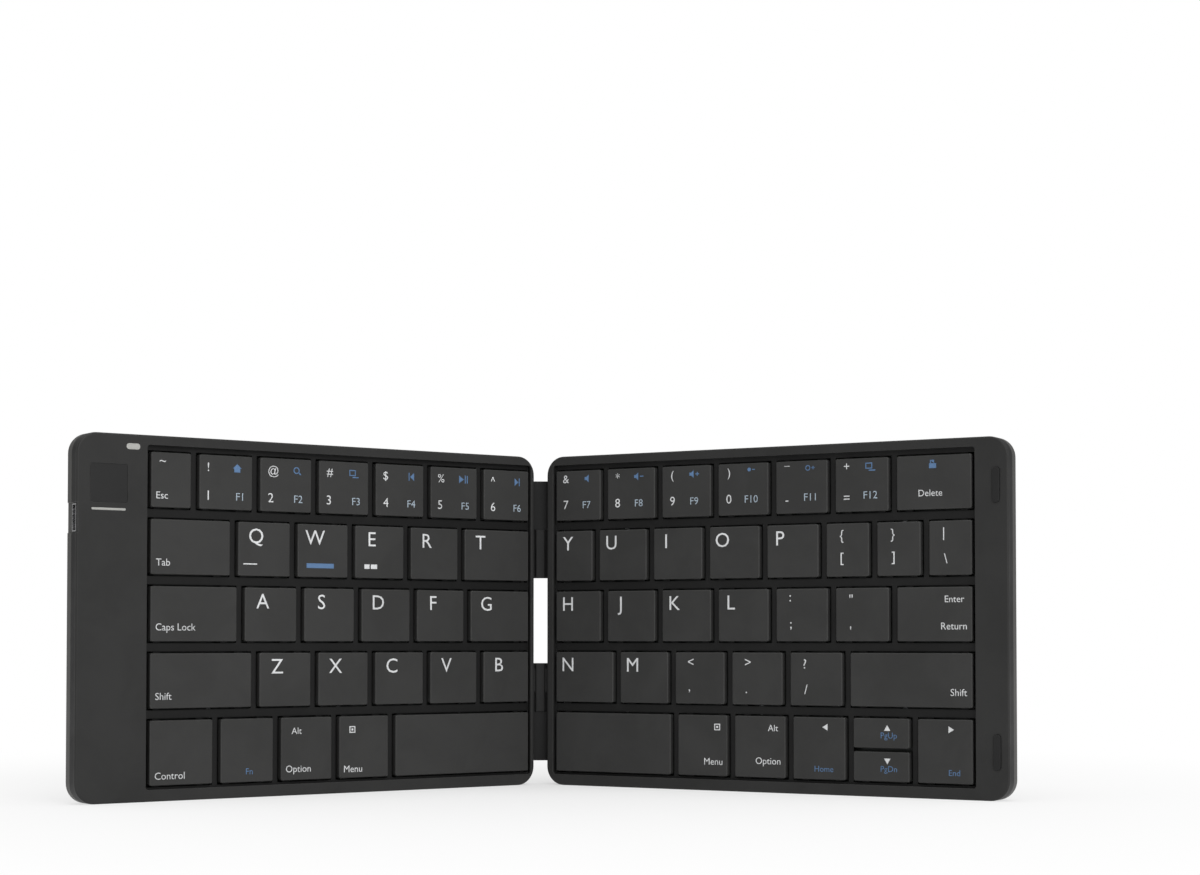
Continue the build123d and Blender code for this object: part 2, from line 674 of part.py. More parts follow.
def main_board():
    """The circuit board with its chip and the connectors for the membrane and the battery."""
    top = BOARD_HEIGHT + BOARD_T
    with BuildPart() as board:
        with BuildSketch(half_plane(LEFT, BOARD_HEIGHT)):
            block(LEFT, BOARD_START, BOARD_START + BOARD_W, BOARD_DOWN, BOARD_DOWN + BOARD_L, BOARD_CORNER_R)
        extrude(amount=BOARD_T)
        with BuildSketch(half_plane(LEFT, top)):
            with Locations(spot(LEFT, BOARD_START + CHIP_IN, CHIP_DOWN)):
                Rectangle(CHIP_SIDE, CHIP_SIDE)
        extrude(amount=CHIP_H)
        with BuildSketch(half_plane(LEFT, top)):
            with Locations(spot(LEFT, BOARD_START + CONNECTOR_W, TAIL_DOWN + TAIL_W / 2)):
                Rectangle(CONNECTOR_W, TAIL_W)
            with Locations(spot(LEFT, BOARD_START + BOARD_W - TAIL_W, BOARD_DOWN + BOARD_L - CONNECTOR_W)):
                Rectangle(TAIL_W, CONNECTOR_W)
        extrude(amount=CONNECTOR_H)
    return board


def battery():
    """The flat lithium pouch with the small protection board at its end."""
    with BuildPart() as cell:
        with BuildSketch(half_plane(LEFT, FLOOR)):
            end, front = BOARD_START + BATTERY_W, BATTERY_DOWN + BATTERY_L
            block(LEFT, BOARD_START, end, BATTERY_DOWN, front, BATTERY_EDGE_R)
        extrude(amount=BATTERY_T)
        fillet(cell.faces().sort_by(outwards(LEFT))[-1].edges(), BATTERY_EDGE_R)
        with BuildSketch(half_plane(LEFT, FLOOR)):
            with Locations(spot(LEFT, BOARD_START + BATTERY_W / 2, BATTERY_DOWN - BATTERY_TAB_L / 2)):
                Rectangle(BATTERY_TAB_W, BATTERY_TAB_L)
        extrude(amount=BATTERY_TAB_T)
    return cell


def charging_socket():
    """The charging socket: a steel shell with a contact tongue inside its mouth."""
    half_w = SOCKET_W / 2
    start = SOCKET_END - SOCKET_L
    with BuildPart() as socket:
        with BuildSketch(half_plane(LEFT, SOCKET_HEIGHT)):
            block(LEFT, start, SOCKET_END, SOCKET_DOWN - half_w, SOCKET_DOWN + half_w)
        extrude(amount=SOCKET_H)
        with BuildSketch(half_plane(LEFT, SOCKET_HEIGHT + SOCKET_WALL)):
            inner = half_w - SOCKET_WALL
            block(LEFT, start + SOCKET_BACK, SOCKET_END, SOCKET_DOWN - inner, SOCKET_DOWN + inner)
        extrude(amount=SOCKET_H - 2 * SOCKET_WALL, mode=Mode.SUBTRACT)
        with BuildSketch(half_plane(LEFT, SOCKET_HEIGHT + (SOCKET_H - SOCKET_TONGUE_T) / 2)):
            tongue = half_w - SOCKET_TONGUE_GAP
            block(LEFT, start, SOCKET_END - SOCKET_TONGUE_GAP, SOCKET_DOWN - tongue, SOCKET_DOWN + tongue)
        extrude(amount=SOCKET_TONGUE_T)
    return socket


# ---- what sits in the bezels
def window_opening(side):
    """Cuts the rebate for the status window, and the opening behind it."""
    start, end = HALF_W - WINDOW_IN - WINDOW_W, HALF_W - WINDOW_IN
    back, front = WINDOW_DOWN, WINDOW_DOWN + WINDOW_L
    with BuildSketch(half_plane(side, HALF_T - WINDOW_RECESS - WINDOW_T)) as rebate:
        block(side, start - SNUG, end + SNUG, back - SNUG, front + SNUG, WINDOW_R)
    extrude(rebate.sketch, amount=HALF_T, mode=Mode.SUBTRACT)
    with BuildSketch(half_plane(side, PIN_HEIGHT)) as opening:
        ledge = WINDOW_LEDGE
        block(side, start + ledge, end - ledge, back + ledge, front - ledge)
    extrude(opening.sketch, amount=HALF_T, mode=Mode.SUBTRACT)


def status_window():
    """The smoked window in the left bezel."""
    with BuildPart() as window:
        with BuildSketch(half_plane(LEFT, HALF_T - WINDOW_RECESS - WINDOW_T)):
            start, back = HALF_W - WINDOW_IN - WINDOW_W, WINDOW_DOWN
            block(LEFT, start, start + WINDOW_W, back, back + WINDOW_L, WINDOW_R - SNUG)
        extrude(amount=WINDOW_T)
    return window


def light_outlines():
    """The two indicator lights, as the reach and down of their sides."""
    lens = (HALF_W - LENS_IN - LENS_W, HALF_W - LENS_IN, LENS_DOWN, LENS_DOWN + LENS_L)
    bar = (HALF_W - BAR_IN - BAR_W, HALF_W - BAR_IN, BAR_DOWN, BAR_DOWN + BAR_L)
    return lens, bar


def light_shape(side, light, grow):
    """The outline of one light, with rounded ends, grown by a margin."""
    start, end, back, front = light
    with Locations(spot(side, (start + end) / 2, (back + front) / 2)):
        SlotOverall(end - start + 2 * grow, front - back + 2 * grow)


def status_lights():
    """The two clear light guides in the left bezel, each with a flange behind it."""
    with BuildPart() as lights:
        for light in light_outlines():
            with BuildSketch(half_plane(LEFT, BEZEL_FLOOR)):
                light_shape(LEFT, light, 0)
            extrude(amount=BEZEL_T)
            with BuildSketch(half_plane(LEFT, BEZEL_FLOOR - LIGHT_FLANGE)):
                light_shape(LEFT, light, LIGHT_FLANGE)
            extrude(amount=LIGHT_FLANGE)
    return lights


def bumper_shapes(side, grow):
    """The outlines of the two bumpers, grown by a margin, in the sketch that is open."""
    for back in (BUMPER_DOWN, HALF_D - BUMPER_DOWN - BUMPER_L):
        with Locations(spot(side, HALF_W - BUMPER_IN - BUMPER_W / 2, back + BUMPER_L / 2)):
            SlotOverall(BUMPER_L + 2 * grow, BUMPER_W + 2 * grow, rotation=90)


def closing_bumpers():
    """The rubber strips that keep the bezels apart when the keyboard is shut."""
    with BuildPart() as bumpers:
        with BuildSketch(half_plane(RIGHT, HALF_T + BUMPER_PROUD - BUMPER_T)):
            bumper_shapes(RIGHT, 0)
        extrude(amount=BUMPER_T)
    return bumpers


def magnets(side):
    """The two magnets behind the outer bezel that hold the keyboard shut."""
    end = HALF_W - MAGNET_IN
    first = BUMPER_DOWN + (BUMPER_L - MAGNET_L) / 2
    with BuildPart() as bars:
        with BuildSketch(half_plane(side, BEZEL_FLOOR - MAGNET_T)):
            for back in (first, HALF_D - first - MAGNET_L):
                block(side, end - MAGNET_W, end, back, back + MAGNET_L)
        extrude(amount=MAGNET_T)
    return bars


# ---- the whole keyboard
def pieces():
    """Every piece with its name."""
    for side, prefix in ((LEFT, "left"), (RIGHT, "right")):
        yield f"{prefix}_bottom_cover", bottom_cover(side)
        yield f"{prefix}_top_frame", top_frame(side)
        yield f"{prefix}_base_plate", base_plate(side)
        yield f"{prefix}_membrane", membrane(side)
        yield f"{prefix}_rubber_domes", rubber_domes(side)
        yield f"{prefix}_plate_screws", plate_screws(side)
        yield f"{prefix}_hinge_pins", hinge_pins(side)
        yield f"{prefix}_magnets", magnets(side)
        here = [key.name for key in KEYS[side]]
        grouped = [name for names in KEY_GROUPS.values() for name in names]
        for group, names in KEY_GROUPS.items():
            if names[0] in here:
                yield group, keycaps(side, names)
        for name in here:
            if name not in grouped:
                yield f"key_{name}", keycaps(side, [name])
    yield "lower_hinge_link", lower_hinge_link()
    yield "upper_hinge_link", upper_hinge_link()
    yield "link_covers", link_covers()
    yield "flex_cable", flex_cable()
    yield "main_board", main_board()
    yield "battery", battery()
    yield "charging_socket", charging_socket()
    yield "status_window", status_window()
    yield "status_lights", status_lights()
    yield "closing_bumpers", closing_bumpers()


os.makedirs("parts", exist_ok=True)
for label, piece in pieces():
    piece.part.label = label
    export_step(piece.part, f"parts/{label}.step")
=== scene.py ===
import json
from math import cos, pi, radians, sin

import bmesh
import bpy
from mathutils import Matrix, Vector

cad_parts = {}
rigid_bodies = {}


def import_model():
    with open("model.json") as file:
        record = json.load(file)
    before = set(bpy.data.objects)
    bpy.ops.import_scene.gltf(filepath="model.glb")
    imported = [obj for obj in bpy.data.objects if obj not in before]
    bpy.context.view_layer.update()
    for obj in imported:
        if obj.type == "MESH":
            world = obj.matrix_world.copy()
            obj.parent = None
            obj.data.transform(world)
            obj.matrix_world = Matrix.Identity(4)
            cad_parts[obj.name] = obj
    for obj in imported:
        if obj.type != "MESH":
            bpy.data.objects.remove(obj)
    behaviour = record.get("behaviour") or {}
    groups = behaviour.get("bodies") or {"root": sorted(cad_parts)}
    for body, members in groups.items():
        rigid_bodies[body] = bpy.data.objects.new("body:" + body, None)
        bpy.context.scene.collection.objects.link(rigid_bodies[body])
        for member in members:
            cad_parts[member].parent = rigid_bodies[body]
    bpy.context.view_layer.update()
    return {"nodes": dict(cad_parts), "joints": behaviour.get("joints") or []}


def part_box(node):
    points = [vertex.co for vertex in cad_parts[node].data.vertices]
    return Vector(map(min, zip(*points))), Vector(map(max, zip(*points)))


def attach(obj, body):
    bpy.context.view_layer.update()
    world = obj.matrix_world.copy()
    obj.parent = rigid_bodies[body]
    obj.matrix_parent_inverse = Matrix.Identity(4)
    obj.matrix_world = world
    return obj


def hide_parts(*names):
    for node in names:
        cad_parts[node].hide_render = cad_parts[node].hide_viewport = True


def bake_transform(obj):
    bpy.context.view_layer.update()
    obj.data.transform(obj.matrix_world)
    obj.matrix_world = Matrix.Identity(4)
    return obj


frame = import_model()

# ---- Camera
# It stands low in front of the keyboard, level with the middle of the keys, and looks at the hinge.
# The keyboard fills the lower half of the picture, so the lens is shifted and not tilted.
folds = {joint["name"]: joint for joint in frame["joints"] if joint["type"] == "hinge"}
left_pins = Vector(folds["fold_left"]["pos_m"])
right_pins = Vector(folds["fold_right"]["pos_m"])
hinge_foot = Vector((0, left_pins.y, 0))
camera_from_hinge = Vector((-0.0152, -0.6603, 0.0431))
camera_lens = 65.8
camera_rise = radians(91.665)
camera_turn = radians(-2.877)

bpy.ops.object.select_all(action="DESELECT")
bpy.ops.object.camera_add(location=hinge_foot + camera_from_hinge, rotation=(camera_rise, 0, camera_turn))
camera = bpy.context.object
camera.name = "camera"
camera.data.lens = camera_lens
camera.data.shift_y = 0.1158
camera.data.clip_start = 0.01
camera.data.clip_end = 50
bpy.context.scene.camera = camera
bpy.context.scene.view_settings.view_transform = "Standard"

# ---- Table and studio
# A pale seamless table top that fades to white away from the keyboard, and a white room. A wide soft
# lamp stands in front on the right, because the left half is lit a little more than the right half.
floor_radius = 4.0
fade_end = 0.32
least_fade = 0.45
room_light = 0.42

bpy.ops.object.select_all(action="DESELECT")
bpy.ops.mesh.primitive_circle_add(vertices=96, radius=floor_radius, fill_type="NGON")
floor = bpy.context.object
floor.name = "table_top"


def new_material(name):
    """A material with its nodes cleared down to the output; gives the material and its node tree."""
    material = bpy.data.materials.new(name)
    material.use_nodes = True
    tree = material.node_tree
    for node in list(tree.nodes):
        if node.type != "OUTPUT_MATERIAL":
            tree.nodes.remove(node)
    return material, tree


def add(tree, kind, **values):
    """A node of one kind; the values are its properties, or its inputs where they have that name."""
    node = tree.nodes.new(kind)
    for name, value in values.items():
        if hasattr(node, name):
            setattr(node, name, value)
        else:
            node.inputs[name.replace("_", " ")].default_value = value
    return node


def arithmetic(tree, operation, first, second=0.0, clamp=False):
    """A Math node's result; each of its two numbers may be a value or another node's output."""
    node = tree.nodes.new("ShaderNodeMath")
    node.operation = operation
    node.use_clamp = clamp
    for socket, value in zip(node.inputs, (first, second)):
        if isinstance(value, (int, float)):
            socket.default_value = value
        else:
            tree.links.new(value, socket)
    return node.outputs[0]


def ramp(tree, value, low, high, start=0.0, end=1.0, smooth=True):
    """Turns a number that runs from low to high into one that runs from start to end."""
    node = tree.nodes.new("ShaderNodeMapRange")
    node.interpolation_type = "SMOOTHSTEP" if smooth else "LINEAR"
    for name, number in (("From Min", low), ("From Max", high), ("To Min", start), ("To Max", end)):
        node.inputs[name].default_value = number
    tree.links.new(value, node.inputs["Value"])
    return node.outputs["Result"]


floor_material, tree = new_material("table_white")
place = tree.nodes.new("ShaderNodeTexCoord")
away = tree.nodes.new("ShaderNodeVectorMath")
away.operation = "LENGTH"
tree.links.new(place.outputs["Object"], away.inputs[0])
lit = add(tree, "ShaderNodeBsdfDiffuse", Color=(0.90, 0.90, 0.90, 1))
white = add(tree, "ShaderNodeEmission", Color=(1, 1, 1, 1), Strength=1.0)
ray = tree.nodes.new("ShaderNodeLightPath")
seen = arithmetic(tree, "MAXIMUM", ray.outputs["Is Camera Ray"], ray.outputs["Is Glossy Ray"])
faded = arithmetic(tree, "MULTIPLY", seen, ramp(tree, away.outputs["Value"], 0, fade_end, least_fade))
mixed = tree.nodes.new("ShaderNodeMixShader")
tree.links.new(faded, mixed.inputs["Fac"])
tree.links.new(lit.outputs[0], mixed.inputs[1])
tree.links.new(white.outputs[0], mixed.inputs[2])
tree.links.new(mixed.outputs[0], tree.nodes["Material Output"].inputs["Surface"])
floor.data.materials.append(floor_material)

world = bpy.data.worlds.new("white_room")
world.use_nodes = True
bpy.context.scene.world = world
tree = world.node_tree
tree.nodes.clear()
ray = tree.nodes.new("ShaderNodeLightPath")
soft = add(tree, "ShaderNodeBackground", Color=(1, 1, 1, 1), Strength=room_light)
backdrop = add(tree, "ShaderNodeBackground", Color=(1, 1, 1, 1), Strength=1.0)
mixed = tree.nodes.new("ShaderNodeMixShader")
output = tree.nodes.new("ShaderNodeOutputWorld")
tree.links.new(ray.outputs["Is Camera Ray"], mixed.inputs["Fac"])
tree.links.new(soft.outputs[0], mixed.inputs[1])
tree.links.new(backdrop.outputs[0], mixed.inputs[2])
tree.links.new(mixed.outputs[0], output.inputs["Surface"])


def soft_lamp(name, spot, aim, width, height, power):
    """A rectangular soft lamp that points at a place."""
    bpy.ops.object.select_all(action="DESELECT")
    bpy.ops.object.light_add(type="AREA", location=spot)
    lamp = bpy.context.object
    lamp.name = name
    lamp.data.shape = "RECTANGLE"
    lamp.data.size = width
    lamp.data.size_y = height
    lamp.data.energy = power
    lamp.rotation_euler = (Vector(aim) - Vector(spot)).to_track_quat("-Z", "Y").to_euler()


soft_lamp("front_right_lamp", (0.55, -1.5, 0.8), hinge_foot, 1.2, 1.0, 14)
soft_lamp("top_lamp", (0, -0.1, 1.6), hinge_foot, 1.6, 1.2, 12)

# ---- Moulded plastic
# Every shell and key is injection moulded in a spark-eroded tool, which leaves a fine even grain.
# Handling polishes it in blurred patches and rubs the sharp edges lighter.


def new_group(name, inputs, outputs):
    """An empty shader node group with named inputs and outputs; gives it with its two end nodes."""
    group = bpy.data.node_groups.new(name, "ShaderNodeTree")
    for label, kind, value in inputs:
        socket = group.interface.new_socket(label, in_out="INPUT", socket_type=kind)
        socket.default_value = value
    for label, kind in outputs:
        group.interface.new_socket(label, in_out="OUTPUT", socket_type=kind)
    return group, group.nodes.new("NodeGroupInput"), group.nodes.new("NodeGroupOutput")


grain_size = 3200.0  # waves in a metre
grain, given, made = new_group(
    "spark_eroded_grain",
    [("Fineness", "NodeSocketFloat", grain_size), ("Patch Size", "NodeSocketFloat", 55.0)],
    [("Height", "NodeSocketFloat"), ("Patches", "NodeSocketFloat")],
)
place = grain.nodes.new("ShaderNodeTexCoord")
fine = add(grain, "ShaderNodeTexNoise", Detail=3.0, Roughness=0.65)
pits = add(grain, "ShaderNodeTexVoronoi", feature="SMOOTH_F1")
patches = add(grain, "ShaderNodeTexNoise", Detail=4.0, Roughness=0.6, Distortion=0.4)
for node in (fine, pits, patches):
    grain.links.new(place.outputs["Object"], node.inputs["Vector"])
grain.links.new(given.outputs["Fineness"], fine.inputs["Scale"])
grain.links.new(arithmetic(grain, "MULTIPLY", given.outputs["Fineness"], 0.7), pits.inputs["Scale"])
grain.links.new(given.outputs["Patch Size"], patches.inputs["Scale"])
fine_share = arithmetic(grain, "MULTIPLY", fine.outputs["Fac"], 0.6)
grain.links.new(arithmetic(grain, "ADD", fine_share, pits.outputs["Distance"]), made.inputs["Height"])
grain.links.new(ramp(grain, patches.outputs["Fac"], 0.32, 0.68), made.inputs["Patches"])

rub, given, made = new_group(
    "rubbed_edges",
    [("Width", "NodeSocketFloat", 0.0003), ("Fineness", "NodeSocketFloat", 900.0)],
    [("Rubbed", "NodeSocketFloat"), ("Normal", "NodeSocketVector")],
)
rounded = add(rub, "ShaderNodeBevel", samples=6)
surface = rub.nodes.new("ShaderNodeNewGeometry")
turned = rub.nodes.new("ShaderNodeVectorMath")
turned.operation = "DOT_PRODUCT"
rub.links.new(given.outputs["Width"], rounded.inputs["Radius"])
rub.links.new(rounded.outputs["Normal"], turned.inputs[0])
rub.links.new(surface.outputs["Normal"], turned.inputs[1])
edge = ramp(rub, turned.outputs["Value"], 0.995, 0.90)
place = rub.nodes.new("ShaderNodeTexCoord")
uneven = add(rub, "ShaderNodeTexNoise", Detail=2.0)
rub.links.new(place.outputs["Object"], uneven.inputs["Vector"])
rub.links.new(given.outputs["Fineness"], uneven.inputs["Scale"])
patchy = ramp(rub, uneven.outputs["Fac"], 0.30, 0.62, 0.35, 1.0)
rub.links.new(arithmetic(rub, "MULTIPLY", edge, patchy), made.inputs["Rubbed"])
rub.links.new(rounded.outputs["Normal"], made.inputs["Normal"])


def moulded_plastic(
    name, color, rubbed, roughness, polish, grain_depth, rim=0.00025, painted_shade_mask=None, painted_shade_share=0.2, mottle=0.09
):
    """Moulded plastic: its colour, the lighter colour of rubbed edges, how rough it is, how much
    smoother the handled patches are, and how deep the grain is. Where the mask of painted shade is 1,
    the colour is darkened, as painted shade, to the given share. Mottle is how far patches of it vary."""
    material, tree = new_material(name)
    plastic = add(tree, "ShaderNodeBsdfPrincipled", Specular_IOR_Level=0.24)
    texture = add(tree, "ShaderNodeGroup", node_tree=grain)
    edges = add(tree, "ShaderNodeGroup", node_tree=rub)
    edges.inputs["Width"].default_value = rim
    tone = add(tree, "ShaderNodeMix", data_type="RGBA", blend_type="MIX")
    tone.inputs[6].default_value = [(1 - mottle) * part for part in color] + [1]
    tone.inputs[7].default_value = [(1 + mottle) * part for part in color] + [1]
    tree.links.new(texture.outputs["Patches"], tone.inputs["Factor"])
    worn = add(tree, "ShaderNodeMix", data_type="RGBA", blend_type="MIX")
    tree.links.new(tone.outputs[2], worn.inputs[6])
    worn.inputs[7].default_value = list(rubbed) + [1]
    tree.links.new(edges.outputs["Rubbed"], worn.inputs["Factor"])
    result = worn.outputs[2]
    # Painted shade: the colour is darkened where the mask is 1.
    if painted_shade_mask:
        dark = add(tree, "ShaderNodeMix", data_type="RGBA", blend_type="MULTIPLY")
        tree.links.new(painted_shade_mask(tree), dark.inputs["Factor"])
        tree.links.new(result, dark.inputs[6])
        dark.inputs[7].default_value = (painted_shade_share, painted_shade_share, painted_shade_share, 1)
        result = dark.outputs[2]
    tree.links.new(result, plastic.inputs["Base Color"])
    handled = arithmetic(tree, "MULTIPLY", texture.outputs["Patches"], -polish)
    tree.links.new(arithmetic(tree, "ADD", handled, roughness, clamp=True), plastic.inputs["Roughness"])
    bump = add(tree, "ShaderNodeBump", Strength=1.0, Distance=grain_depth)
    tree.links.new(texture.outputs["Height"], bump.inputs["Height"])
    tree.links.new(edges.outputs["Normal"], bump.inputs["Normal"])
    tree.links.new(bump.outputs["Normal"], plastic.inputs["Normal"])
    tree.links.new(plastic.outputs["BSDF"], tree.nodes["Material Output"].inputs["Surface"])
    return material


def finish_nodes(material, *names):
    """Gives CAD nodes a material."""
    for name in names:
        node = frame["nodes"][name]
        node.data.materials.clear()
        node.data.materials.append(material)


# ---- Back shells
# The two smooth covers on the back, moulded in dark grey and finished in a soft satin.
back_grey = (0.062, 0.061, 0.058)
back_rubbed = (0.12, 0.118, 0.112)
back_shell = moulded_plastic("satin_back_shell", back_grey, back_rubbed, 0.44, 0.04, 0.000006, mottle=0.02)
finish_nodes(back_shell, "left_bottom_cover", "right_bottom_cover")

# ---- Layers under the keys
# A steel plate, a printed black sheet and soft milky domes lie in each half, held by small screws.


def plain_metal(name, color, roughness, direction, fineness):
    """Rolled or drawn metal with fine lines along one direction."""
    material, tree = new_material(name)
    metal = add(tree, "ShaderNodeBsdfPrincipled", Metallic=1.0)
    place = tree.nodes.new("ShaderNodeTexCoord")
    stretched = tree.nodes.new("ShaderNodeMapping")
    stretched.inputs["Scale"].default_value = direction
    lines = add(tree, "ShaderNodeTexNoise", Scale=fineness, Detail=3.0)
    tree.links.new(place.outputs["Object"], stretched.inputs["Vector"])
    tree.links.new(stretched.outputs["Vector"], lines.inputs["Vector"])
    tone = add(tree, "ShaderNodeMix", data_type="RGBA")
    tone.inputs[6].default_value = [0.8 * part for part in color] + [1]
    tone.inputs[7].default_value = list(color) + [1]
    tree.links.new(lines.outputs["Fac"], tone.inputs["Factor"])
    tree.links.new(tone.outputs[2], metal.inputs["Base Color"])
    rough = ramp(tree, lines.outputs["Fac"], 0.3, 0.7, roughness - 0.08, roughness + 0.08)
    tree.links.new(rough, metal.inputs["Roughness"])
    bump = add(tree, "ShaderNodeBump", Strength=0.4, Distance=0.00001)
    tree.links.new(lines.outputs["Fac"], bump.inputs["Height"])
    tree.links.new(bump.outputs["Normal"], metal.inputs["Normal"])
    tree.links.new(metal.outputs["BSDF"], tree.nodes["Material Output"].inputs["Surface"])
    return material


rolled_steel = plain_metal("rolled_steel", (0.42, 0.43, 0.44), 0.42, (1, 1, 0.06), 1500)
finish_nodes(rolled_steel, "left_base_plate", "right_base_plate", "left_plate_screws", "right_plate_screws")
sheet_black, sheet_rubbed = (0.035, 0.04, 0.036), (0.06, 0.06, 0.06)
sheet_film = moulded_plastic("black_switch_sheet", sheet_black, sheet_rubbed, 0.35, 0.08, 0.000002)
finish_nodes(sheet_film, "left_membrane", "right_membrane")
dome_rubber = moulded_plastic("milky_silicone", (0.55, 0.56, 0.54), (0.6, 0.6, 0.6), 0.55, 0.05, 0.000004)
finish_nodes(dome_rubber, "left_rubber_domes", "right_rubber_domes")

# ---- Electronics
# The circuit board with its green lacquer, the silver battery pouch, and the charging socket, whose
# steel mouth shows in the left edge. Nickel-plated magnets sit behind the outer bezels.
board_green, board_rubbed = (0.012, 0.10, 0.045), (0.3, 0.26, 0.12)
board_lacquer = moulded_plastic("green_board_lacquer", board_green, board_rubbed, 0.30, 0.06, 0.000003)
finish_nodes(board_lacquer, "main_board")
pouch_foil = plain_metal("battery_foil", (0.62, 0.63, 0.65), 0.45, (1, 1, 1), 700)
finish_nodes(pouch_foil, "battery")
socket_steel = plain_metal("drawn_socket_steel", (0.55, 0.55, 0.56), 0.30, (0.05, 0.05, 1), 2500)
finish_nodes(socket_steel, "charging_socket")
nickel = plain_metal("bright_nickel", (0.60, 0.59, 0.56), 0.18, (1, 1, 1), 900)
finish_nodes(nickel, "left_magnets", "right_magnets")

# ---- Key frames
# The upper shells: a plain bezel round a sunken well, in one material. The well is given a darker colour
# than the bezel as painted shade between the keys, by an amount set for each half to match the photograph;
# the left well gets more painted shade than the right.
frame_black = (0.0255, 0.0255, 0.025)
frame_rubbed = (0.055, 0.055, 0.054)
# Painted shade: the share of the bezel's colour left in each well, darker on the left half than the right.
painted_well_shade_shares = {"left": 0.24, "right": 0.36}  # the share of the bezel's colour that each well keeps
half_thickness = 0.0072
pin_height = 0.0036
tilt = radians(-folds["fold_left"]["range_deg"][0])


def height_above_back(tree, side, pins):
    """How far a point lies above the back of its half, from its place in the frame."""
    outwards = Vector((-side * sin(tilt), -cos(tilt), 0))
    place = tree.nodes.new("ShaderNodeTexCoord")
    along = tree.nodes.new("ShaderNodeVectorMath")
    along.operation = "DOT_PRODUCT"
    along.inputs[1].default_value = outwards
    tree.links.new(place.outputs["Object"], along.inputs[0])
    return arithmetic(tree, "ADD", along.outputs["Value"], pin_height - pins.dot(outwards))


def painted_well_shade(side, pins):
    """A mask of painted shade that is 1 in the key well and 0 on the bezel."""

    def painted_shade_mask(tree):
        height = height_above_back(tree, side, pins)
        return ramp(tree, height, half_thickness - 0.0004, half_thickness - 0.0013)

    return painted_shade_mask


# Each frame's well is darkened by painted shade, with the left half's share darker than the right's.
left_frame = moulded_plastic(
    "left_frame_plastic_painted_shade", frame_black, frame_rubbed, 0.56, 0.10, 0.000008,
    painted_shade_mask=painted_well_shade(-1, left_pins), painted_shade_share=painted_well_shade_shares["left"],
)
right_frame = moulded_plastic(
    "right_frame_plastic_painted_shade", frame_black, frame_rubbed, 0.56, 0.10, 0.000008,
    painted_shade_mask=painted_well_shade(1, right_pins), painted_shade_share=painted_well_shade_shares["right"],
)
finish_nodes(left_frame, "left_top_frame")
finish_nodes(right_frame, "right_top_frame")

# ---- Keys
# Flat charcoal caps with crisp edges. Use has polished them in places and rubbed the edges.
key_charcoal = (0.036, 0.036, 0.0352)
key_rubbed = (0.085, 0.085, 0.083)
key_plastic = moulded_plastic("key_plastic", key_charcoal, key_rubbed, 0.52, 0.12, 0.000007, rim=0.0002)
group_nodes = [
    "left_number_keys",
    "left_side_keys",
    "right_number_keys",
    "right_punctuation_keys",
    "right_side_keys",
    "arrow_keys",
]
key_nodes = group_nodes + sorted(name for name in frame["nodes"] if name.startswith("key_"))
finish_nodes(key_plastic, *key_nodes)

# ---- Hinge
# Two black moulded links turn on ground steel pins; a raised cover lies over each link's channel.
link_color, link_rubbed = (0.0075, 0.0075, 0.0075), (0.022, 0.022, 0.022)
link_black = moulded_plastic("link_plastic", link_color, link_rubbed, 0.55, 0.10, 0.000007)
finish_nodes(link_black, "lower_hinge_link", "upper_hinge_link")
cover_color, cover_rubbed = (0.0145, 0.0145, 0.0143), (0.032, 0.032, 0.031)
cover_black = moulded_plastic("cover_plastic", cover_color, cover_rubbed, 0.55, 0.10, 0.000007)
finish_nodes(cover_black, "link_covers")
pin_steel = plain_metal("ground_pin_steel", (0.56, 0.56, 0.57), 0.22, (1, 1, 0.1), 3000)
finish_nodes(pin_steel, "left_hinge_pins", "right_hinge_pins")

# ---- Flat cable
# A black flat cable joins the halves through the lower link's channel. It is two strips here: each one
# runs from inside a half to the middle of the link, and bends where it passes that half's pin line.
cable_low, cable_high = (corner.z for corner in map(Vector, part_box("flex_cable")))
cable_thickness = 0.00012
cable_steps = 60
cable_rounding = 25
cable_in_half = ((0.0058, 0.00232), (0.0044, 0.00232), (0.0029, pin_height), (0, pin_height))  # reach, height
cable_under_cover = (0.0009, 0.0007)  # from a pin line to where it runs level, and how far behind the pins


def cable_route(side, pins):
    """Evenly spaced points from inside one half to the middle of the link, with rounded bends."""
    along = Vector((side * cos(tilt), -sin(tilt)))
    outwards = Vector((-side * sin(tilt), -cos(tilt)))
    corners = [pins.xy + along * reach + outwards * (height - pin_height) for reach, height in cable_in_half]
    corners.append(pins.xy + Vector((-side * cable_under_cover[0], cable_under_cover[1])))
    corners.append(Vector((0, corners[-1].y)))
    lengths = [(end - start).length for start, end in zip(corners, corners[1:])]
    route = []
    for step in range(cable_steps + 1):
        left = sum(lengths) * step / cable_steps
        run = 0
        while run < len(lengths) - 1 and left > lengths[run]:
            left -= lengths[run]
            run += 1
        route.append(corners[run].lerp(corners[run + 1], min(1, left / lengths[run])))
    for _ in range(cable_rounding):
        threes = zip(route, route[1:], route[2:])
        middles = [(before + here * 2 + after) / 4 for before, here, after in threes]
        route = [route[0]] + middles + [route[-1]]
    return route


